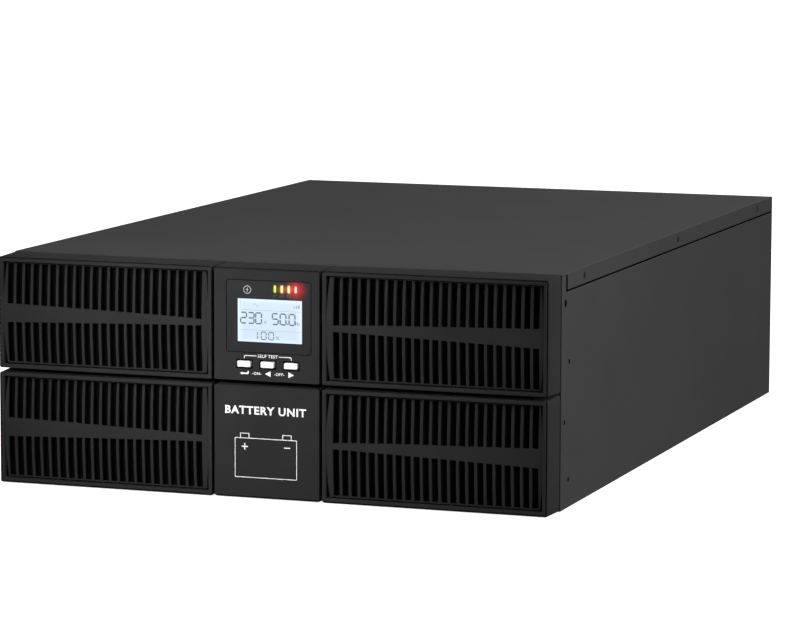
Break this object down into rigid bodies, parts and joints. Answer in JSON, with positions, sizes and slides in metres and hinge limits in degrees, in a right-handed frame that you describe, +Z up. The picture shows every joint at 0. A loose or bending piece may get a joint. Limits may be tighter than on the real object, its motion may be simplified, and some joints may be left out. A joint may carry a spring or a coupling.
{
  "type": "rack-mount uninterruptible power supply",
  "caption": "Rack-mount uninterruptible power supply with louvred front grilles, a square display module and a sliding battery tray",
  "frame": {"origin": "bottom centre of the whole object's box", "axes": "+X to the right seen from the front, +Y towards the back, +Z up"},
  "size_m": [0.438, 0.6822, 0.175],
  "materials": {
    "case_steel": "fine-textured matt powder coat, charcoal",
    "zinc_steel": "zinc plated sheet",
    "front_plastic": "finely textured moulded plastic, dark grey",
    "window_plastic": "clear smoked window, satin",
    "lcd": "backlit liquid crystal panel",
    "clear_plastic": "clear light pipes",
    "button_plastic": "smooth white moulding",
    "circuit_board": "solder-masked laminate",
    "screw_steel": "black oxide",
    "fan_plastic": "black moulding",
    "guard_wire": "black coated wire",
    "black_moulding": "black moulding",
    "grey_moulding": "grey moulding",
    "green_moulding": "green moulding",
    "nickel": "nickel plated",
    "aluminium": "as extruded",
    "capacitor_sleeve": "shrunk sleeve over aluminium",
    "enamelled_copper": "enamelled copper wire",
    "battery_case": "moulded battery case"
  },
  "bodies": {
    "case": {"chassis_tray": "case_steel", "top_cover": "case_steel", "cover_screw_1": "screw_steel", "cover_screw_2": "screw_steel", "cover_screw_3": "screw_steel", "cover_screw_4": "screw_steel", "cover_screw_5": "screw_steel", "cover_screw_6": "screw_steel", "mid_shelf": "zinc_steel", "front_bulkhead": "case_steel", "rear_panel": "case_steel", "fan_frame_1": "fan_plastic", "fan_frame_2": "fan_plastic", "fan_guard_1": "guard_wire", "fan_guard_2": "guard_wire", "terminal_block": "black_moulding", "terminal_cover": "case_steel", "breaker_body": "black_moulding", "serial_port": "nickel", "usb_port": "nickel", "epo_connector": "green_moulding", "card_slot_cover": "case_steel", "battery_socket": "grey_moulding", "power_board": "circuit_board", "left_heatsink": "aluminium", "right_heatsink": "aluminium", "bus_capacitor_1": "capacitor_sleeve", "bus_capacitor_2": "capacitor_sleeve", "bus_capacitor_3": "capacitor_sleeve", "bus_capacitor_4": "capacitor_sleeve", "pfc_choke": "enamelled_copper", "inverter_choke": "enamelled_copper", "control_board": "circuit_board"},
    "upper_left_grille": {"upper_left_grille": "front_plastic"},
    "upper_right_grille": {"upper_right_grille": "front_plastic"},
    "display_module": {"display_housing": "front_plastic", "display_window": "window_plastic", "lcd_panel": "lcd", "light_pipes": "clear_plastic", "display_board": "circuit_board", "display_back": "front_plastic"},
    "left_button": {"left_button": "button_plastic"},
    "middle_button": {"middle_button": "button_plastic"},
    "right_button": {"right_button": "button_plastic"},
    "battery_drawer": {"battery_tray": "case_steel", "tray_handle": "case_steel", "battery_pair_1": "battery_case", "battery_pair_2": "battery_case", "battery_pair_3": "battery_case", "battery_pair_4": "battery_case", "battery_pair_5": "battery_case", "battery_pair_6": "battery_case", "battery_pair_7": "battery_case", "battery_pair_8": "battery_case"},
    "lower_left_grille": {"lower_left_grille": "front_plastic"},
    "lower_right_grille": {"lower_right_grille": "front_plastic"},
    "battery_badge": {"battery_badge": "front_plastic"},
    "fan_rotor_1": {"fan_rotor_1": "fan_plastic"},
    "fan_rotor_2": {"fan_rotor_2": "fan_plastic"},
    "breaker_lever": {"breaker_lever": "black_moulding"}
  },
  "joints": [
    {"name": "upper_left_grille_pull", "type": "slide", "parent": "case", "child": "upper_left_grille", "axis": [0, -1, 0], "range_m": [0, 0.045]},
    {"name": "upper_right_grille_pull", "type": "slide", "parent": "case", "child": "upper_right_grille", "axis": [0, -1, 0], "range_m": [0, 0.045]},
    {"name": "display_module_pull", "type": "slide", "parent": "case", "child": "display_module", "axis": [0, -1, 0], "range_m": [0, 0.045]},
    {"name": "left_button_press", "type": "slide", "parent": "display_module", "child": "left_button", "axis": [0, 1, 0], "range_m": [0, 0.001], "stiffness_N_per_m": 1500, "springref_m": -0.0005},
    {"name": "middle_button_press", "type": "slide", "parent": "display_module", "child": "middle_button", "axis": [0, 1, 0], "range_m": [0, 0.001], "stiffness_N_per_m": 1500, "springref_m": -0.0005},
    {"name": "right_button_press", "type": "slide", "parent": "display_module", "child": "right_button", "axis": [0, 1, 0], "range_m": [0, 0.001], "stiffness_N_per_m": 1500, "springref_m": -0.0005},
    {"name": "battery_drawer_slide", "type": "slide", "parent": "case", "child": "battery_drawer", "axis": [0, -1, 0], "range_m": [0, 0.56]},
    {"name": "lower_left_grille_pull", "type": "slide", "parent": "battery_drawer", "child": "lower_left_grille", "axis": [0, -1, 0], "range_m": [0, 0.045]},
    {"name": "lower_right_grille_pull", "type": "slide", "parent": "battery_drawer", "child": "lower_right_grille", "axis": [0, -1, 0], "range_m": [0, 0.045]},
    {"name": "battery_badge_pull", "type": "slide", "parent": "battery_drawer", "child": "battery_badge", "axis": [0, -1, 0], "range_m": [0, 0.045]},
    {"name": "fan_rotor_1_spin", "type": "hinge", "parent": "case", "child": "fan_rotor_1", "pos_m": [0.086, 0.3108, 0.1305], "axis": [0, 1, 0], "continuous": true},
    {"name": "fan_rotor_2_spin", "type": "hinge", "parent": "case", "child": "fan_rotor_2", "pos_m": [0.17, 0.3108, 0.1305], "axis": [0, 1, 0], "continuous": true},
    {"name": "breaker_lever_throw", "type": "hinge", "parent": "case", "child": "breaker_lever", "pos_m": [-0.075, 0.3251, 0.13], "axis": [1, 0, 0], "range_deg": [-50, 0]}
  ]
}
